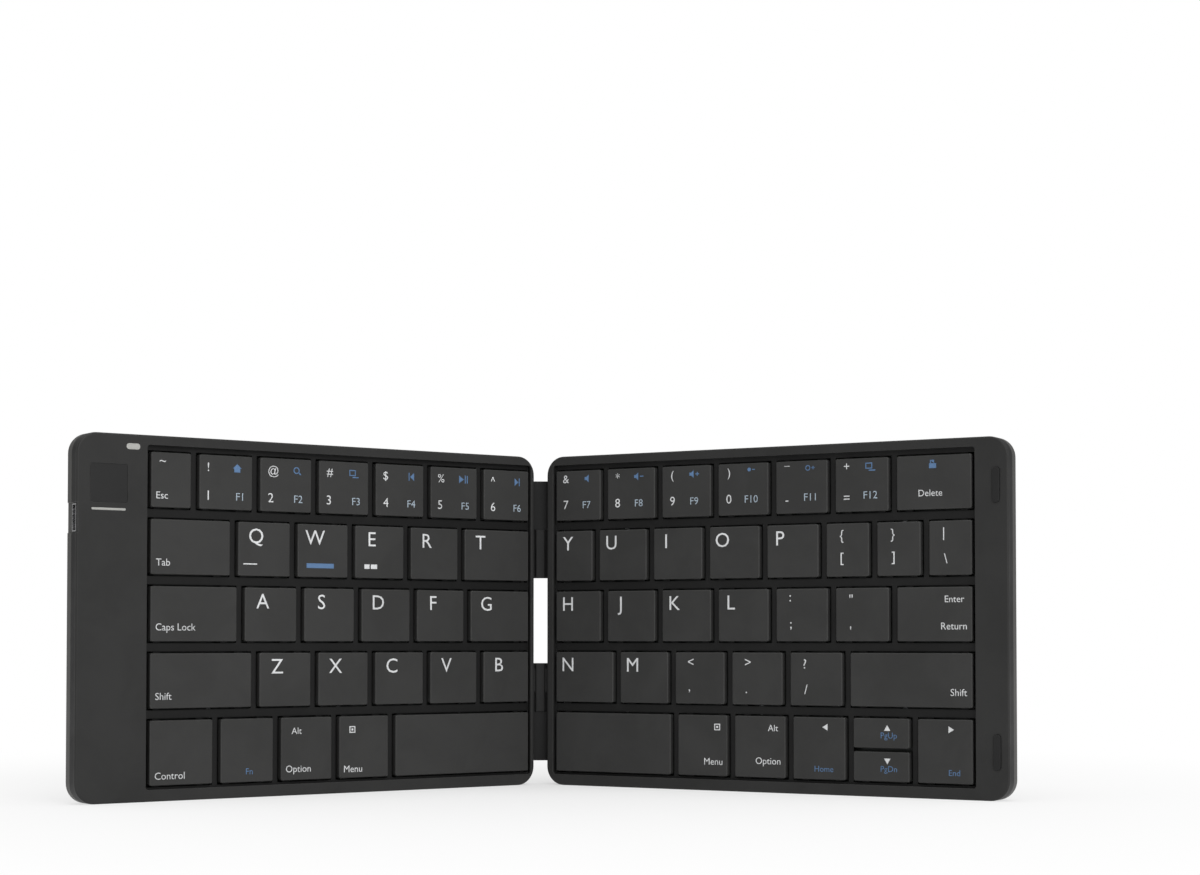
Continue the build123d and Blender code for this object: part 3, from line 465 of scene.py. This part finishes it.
film_color, film_rubbed = (0.012, 0.012, 0.012), (0.02, 0.02, 0.02)
flex_film = moulded_plastic("flat_cable_film", film_color, film_rubbed, 0.38, 0.08, 0.000003)
for side, pins, half in ((-1, left_pins, "left_half"), (1, right_pins, "right_half")):
    bpy.ops.object.select_all(action="DESELECT")
    bpy.ops.mesh.primitive_grid_add(x_subdivisions=cable_steps, y_subdivisions=1, size=2)
    strip = bpy.context.object
    strip.name = f"{half}_flat_cable"
    route = cable_route(side, pins)
    for corner in strip.data.vertices:
        place = route[round((corner.co.x + 1) / 2 * cable_steps)]
        corner.co = (place.x, place.y, cable_low if corner.co.y < 0 else cable_high)
    thick = strip.modifiers.new("thickness", "SOLIDIFY")
    thick.thickness = cable_thickness
    thick.offset = 0
    bpy.ops.object.modifier_apply(modifier=thick.name)
    bpy.ops.object.mode_set(mode="EDIT")
    bpy.ops.mesh.select_all(action="SELECT")
    bpy.ops.mesh.normals_make_consistent(inside=False)
    bpy.ops.object.mode_set(mode="OBJECT")
    bpy.ops.object.shade_smooth_by_angle(angle=radians(40))
    strip.data.materials.append(flex_film)
    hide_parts("flex_cable")
    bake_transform(strip)

# ---- Status window, lights and bumpers
# A smoked window and two clear light guides in the left bezel, and soft strips in the right bezel.
smoke_color, smoke_rubbed = (0.020, 0.020, 0.020), (0.04, 0.04, 0.04)
window_smoke = moulded_plastic("window_smoke", smoke_color, smoke_rubbed, 0.40, 0.06, 0.000001)
finish_nodes(window_smoke, "status_window")
guide_clear = moulded_plastic("light_guide_clear", (0.42, 0.42, 0.40), (0.5, 0.5, 0.48), 0.30, 0.05, 0.000001)
finish_nodes(guide_clear, "status_lights")
rubber_color, rubber_rubbed = (0.016, 0.016, 0.016), (0.03, 0.03, 0.03)
bumper_black = moulded_plastic("bumper_rubber", rubber_color, rubber_rubbed, 0.72, 0.06, 0.00001)
finish_nodes(bumper_black, "closing_bumpers")

# ---- Printed legends
# Every legend is a thin layer of ink printed on a key: white letters, digits and words, and pale blue
# marks for what a key does together with the function key.
ink_t = 0.00002
ink_white = moulded_plastic("white_ink", (0.74, 0.75, 0.76), (0.74, 0.75, 0.76), 0.55, 0.05, 0.000002)
ink_blue = moulded_plastic("blue_ink", (0.11, 0.20, 0.36), (0.11, 0.20, 0.36), 0.55, 0.05, 0.000002)
ink_pale = moulded_plastic("pale_blue_ink", (0.42, 0.50, 0.58), (0.42, 0.50, 0.58), 0.55, 0.05, 0.000002)
inks = {
    "white": (ink_white, "legend_ink"),
    "blue": (ink_blue, "blue_legend_ink"),
    "pale": (ink_pale, "legend_ink"),
}

# Each style in millimetres: ink, height of a capital, side it is set against and gap to it, then the
# same up and down. A column sets the mark's middle that far from the key's left.
styles = {
    "letter": ("white", 4.3, "column", 5.2, "top", 1.5),
    "right_letter": ("white", 4.3, "column", 3.9, "top", 1.5),
    "symbol": ("white", 2.5, "left", 2.2, "top", 1.9),
    "digit": ("white", 2.7, "left", 2.2, "bottom", 2.3),
    "function": ("pale", 2.2, "right", 2.6, "bottom", 2.4),
    "icon": ("blue", 2.3, "right", 3.0, "top", 2.0),
    "right_symbol": ("white", 2.5, "column", 3.2, "top", 1.1),
    "right_digit": ("white", 2.7, "column", 3.2, "bottom", 3.2),
    "right_function": ("pale", 2.2, "column", 10.3, "bottom", 3.3),
    "right_icon": ("blue", 2.3, "column", 10.3, "top", 1.1),
    "upper": ("white", 2.8, "left", 3.9, "top", 1.6),
    "lower": ("white", 2.8, "left", 4.1, "bottom", 3.0),
    "word": ("white", 2.0, "left", 1.3, "bottom", 2.1),
    "low_word": ("white", 2.0, "left", 1.3, "bottom", 1.4),
    "mark": ("white", 1.9, "left", 3.0, "top", 2.6),
    "right_word": ("white", 2.0, "right", 1.3, "bottom", 3.0),
    "right_mark": ("white", 1.9, "right", 2.0, "top", 2.2),
    "delete_word": ("white", 1.9, "left", 6.2, "bottom", 3.4),
    "fn_word": ("blue", 1.8, "right", 6.0, "bottom", 1.9),
    "blue_word": ("blue", 1.7, "right", 3.4, "bottom", 2.0),
    "arrow": ("white", 1.9, "centre", 1.8, "top", 1.6),
    "thin_line": ("white", 0.35, "left", 1.3, "bottom", 2.9),
    "long_bar": ("blue", 1.35, "left", 2.5, "bottom", 2.3),
    "short_bar": ("white", 1.3, "left", 2.7, "bottom", 2.4),
}

# Small pictures for the function marks, as closed outlines in units of their own height.


def plate(left, bottom, right, top):
    """The outline of a rectangle."""
    return [(left, bottom), (right, bottom), (right, top), (left, top)]


def disc(x, y, radius, points=20):
    """The outline of a circle."""
    turns = [2 * pi * n / points for n in range(points)]
    return [(x + radius * cos(turn), y + radius * sin(turn)) for turn in turns]


arrow_head = [(0, 0.5), (0.85, 0), (0.85, 1)]
speaker = [(0, 0.3), (0.25, 0.3), (0.6, 0), (0.6, 1), (0.25, 0.7), (0, 0.7)]
pictures = {
    "thin_line": [plate(0, 0, 12, 1)],
    "long_bar": [plate(0, 0, 6.4, 1)],
    "short_bar": [plate(0, 0, 1.3, 1), plate(1.6, 0, 3.2, 1)],
    "left": [arrow_head],
    "right": [[(0.85 - x, y) for x, y in arrow_head]],
    "up": [[(y, 0.85 - x) for x, y in arrow_head]],
    "down": [[(y, x) for x, y in arrow_head]],
    "house": [[(0, 0.45), (0.6, 1), (1.2, 0.45), (1.0, 0.45), (1.0, 0), (0.2, 0), (0.2, 0.45)]],
    "lens": [
        disc(0.42, 0.58, 0.42),
        disc(0.42, 0.58, 0.28),
        [(0.66, 0.3), (0.94, 0), (1.06, 0.1), (0.78, 0.4)],
    ],
    "frames": [plate(0, 0.25, 0.9, 1), plate(0.13, 0.38, 0.77, 0.87), plate(0.45, 0, 1.3, 0.15)],
    "back": [plate(0, 0, 0.14, 1), [(0.2, 0.5), (0.8, 0), (0.8, 1)]],
    "play": [[(0, 0), (0.7, 0.5), (0, 1)], plate(0.85, 0, 1.0, 1), plate(1.15, 0, 1.3, 1)],
    "forward": [[(0.6, 0.5), (0, 0), (0, 1)], plate(0.66, 0, 0.8, 1)],
    "quiet": [speaker],
    "softer": [speaker, plate(0.85, 0.43, 1.35, 0.57)],
    "louder": [
        speaker,
        plate(0.85, 0.43, 1.35, 0.57),
        plate(1.03, 0.25, 1.17, 0.42),
        plate(1.03, 0.58, 1.17, 0.75),
    ],
    "dim": [disc(0.5, 0.5, 0.24), plate(0.9, 0.44, 1.3, 0.56)],
    "bright": [
        disc(0.5, 0.5, 0.34),
        disc(0.5, 0.5, 0.22),
        plate(1.0, 0.44, 1.4, 0.56),
        plate(1.14, 0.3, 1.26, 0.7),
    ],
    "padlock": [
        plate(0, 0, 0.9, 0.6),
        plate(0.12, 0.6, 0.26, 1),
        plate(0.64, 0.6, 0.78, 1),
        plate(0.26, 0.88, 0.64, 1),
    ],
    "squares": [plate(0, 0, 1, 1), plate(0.16, 0.16, 0.84, 0.84), plate(0.34, 0.34, 0.66, 0.66)],
}
function_pictures = ["house", "lens", "frames", "back", "play", "forward"]
function_pictures += ["quiet", "softer", "louder", "dim", "bright", "frames"]

number_row = []
for number, (digit, symbol) in enumerate(zip("1234567890-=", "!@#$%^&*()_+"), 1):
    half = "right_" if number > 6 else ""
    marks = [(digit, half + "digit"), (symbol, half + "symbol"), (f"F{number}", half + "function")]
    marks.append((function_pictures[number - 1], half + "icon"))
    number_row.append(marks)
legends = {
    "left_number_keys": [[("Esc", "word"), ("~", "symbol")]] + number_row[:6],
    "right_number_keys": number_row[6:] + [[("Delete", "delete_word"), ("padlock", "right_icon")]],
    "left_side_keys": [
        [("Tab", "word")],
        [("Caps Lock", "word")],
        [("Shift", "word")],
        [("Control", "low_word")],
        [("Fn", "fn_word")],
        [("Alt", "mark"), ("Option", "low_word")],
        [("squares", "mark"), ("Menu", "low_word")],
    ],
    "right_punctuation_keys": [
        [(upper, "upper"), (lower, "lower")] for upper, lower in zip('{}|:"<>?', "[]\\;',./")
    ],
    "right_side_keys": [
        [("Enter", "right_mark"), ("Return", "right_word")],
        [("Shift", "right_word")],
        [("squares", "right_mark"), ("Menu", "right_word")],
        [("Alt", "right_mark"), ("Option", "right_word")],
    ],
    "arrow_keys": [
        [("up", "arrow"), ("PgUp", "blue_word")],
        [("left", "arrow"), ("Home", "blue_word")],
        [("right", "arrow"), ("End", "blue_word")],
        [("down", "arrow"), ("PgDn", "blue_word")],
    ],
}
for letter in "qwertasdfgzxcvb":
    legends["key_" + letter] = [[(letter.upper(), "letter")]]
for letter in "yuiophjklnm":
    legends["key_" + letter] = [[(letter.upper(), "right_letter")]]
for letter, picture in (("q", "thin_line"), ("w", "long_bar"), ("e", "short_bar")):
    legends["key_" + letter][0].append((picture, picture))

capital_share = 0.729  # height of a capital in the lettering, as a share of its size
key_chamfer = 0.0002


def half_frame(side, pins):
    """One half's own axes: x to the right, y up and z out of the keys, from the back below a pin."""
    across = Vector((cos(tilt), -side * sin(tilt), 0))
    outwards = Vector((-side * sin(tilt), -cos(tilt), 0))
    start = Vector((pins.x, pins.y, 0)) - outwards * pin_height
    rows = [(across[n], float(n == 2), outwards[n], start[n]) for n in range(3)]
    return Matrix(rows + [(0, 0, 0, 1)])


half_frames = {"left_half": half_frame(-1, left_pins), "right_half": half_frame(1, right_pins)}
key_body = {joint["child"]: joint["parent"] for joint in frame["joints"] if joint["type"] == "slide"}


def key_tops(node, placing):
    """The left, right, bottom, top and height of each flat key top in a node, in reading order."""
    solid = bmesh.new()
    solid.from_mesh(frame["nodes"][node].data)
    bmesh.ops.remove_doubles(solid, verts=solid.verts, dist=1e-6)
    solid.transform(placing.inverted())
    level = max(corner.co.z for corner in solid.verts)
    waiting = {corner for corner in solid.verts if corner.co.z > level - key_chamfer / 4}
    tops = []
    while waiting:
        reached = [waiting.pop()]
        for corner in reached:
            for edge in corner.link_edges:
                other = edge.other_vert(corner)
                if other in waiting:
                    waiting.remove(other)
                    reached.append(other)
        across = [corner.co.x for corner in reached]
        up = [corner.co.y for corner in reached]
        tops.append((min(across), max(across), min(up), max(up), level))
    solid.free()
    return sorted(tops, key=lambda top: (-round(top[2] + top[3], 3), top[0]))


def print_mark(mark, style, top):
    """One legend as a thin closed plate of ink on a key top, still in its half's own axes."""
    ink, height, side, side_gap, end, end_gap = style
    bpy.ops.object.select_all(action="DESELECT")
    if mark in pictures:
        outline = bpy.data.curves.new("picture", "CURVE")
        outline.dimensions = "2D"
        outline.fill_mode = "BOTH"
        for corners in pictures[mark]:
            line = outline.splines.new("POLY")
            line.points.add(len(corners) - 1)
            line.points.foreach_set("co", [part for x, y in corners for part in (x, y, 0, 1)])
            line.use_cyclic_u = True
        shape = bpy.data.objects.new("picture", outline)
        bpy.context.collection.objects.link(shape)
        bpy.context.view_layer.objects.active = shape
        shape.select_set(True)
        size = height / 1000
    else:
        bpy.ops.object.text_add()
        shape = bpy.context.object
        shape.data.body = mark
        shape.data.resolution_u = 3
        size = height / 1000 / capital_share
    shape.data.extrude = ink_t / 2 / size
    bpy.ops.object.convert(target="MESH")
    shape = bpy.context.object
    shape.data.transform(Matrix.Diagonal((size, size, size, 1)))
    across = [corner.co.x for corner in shape.data.vertices]
    up = [corner.co.y for corner in shape.data.vertices]
    left, right, bottom, upper, level = top
    x = {
        "left": left + side_gap / 1000 - min(across),
        "right": right - side_gap / 1000 - max(across),
        "centre": (left + right) / 2 + side_gap / 1000 - (min(across) + max(across)) / 2,
        "column": left + side_gap / 1000 - (min(across) + max(across)) / 2,
    }[side]
    y = upper - end_gap / 1000 - max(up) if end == "top" else bottom + end_gap / 1000 - min(up)
    shape.data.transform(Matrix.Translation((x, y, level + ink_t / 2)))
    return shape


for node, rows in legends.items():
    placing = half_frames[key_body[node]]
    printed = {}
    for marks, top in zip(rows, key_tops(node, placing)):
        for mark, style in marks:
            printed.setdefault(styles[style][0], []).append(print_mark(mark, styles[style], top))
    for ink, shapes in printed.items():
        bpy.ops.object.select_all(action="DESELECT")
        for shape in shapes:
            shape.select_set(True)
        bpy.context.view_layer.objects.active = shapes[0]
        if len(shapes) > 1:
            bpy.ops.object.join()
        layer = bpy.context.object
        layer.name = f"{node}_{ink}_legend"
        layer.data.transform(placing)
        bpy.ops.object.mode_set(mode="EDIT")
        bpy.ops.mesh.select_all(action="SELECT")
        bpy.ops.mesh.remove_doubles(threshold=0.000001)
        bpy.ops.mesh.normals_make_consistent(inside=False)
        bpy.ops.object.mode_set(mode="OBJECT")
        layer.data.materials.clear()
        layer.data.materials.append(inks[ink][0])
        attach(layer, node)
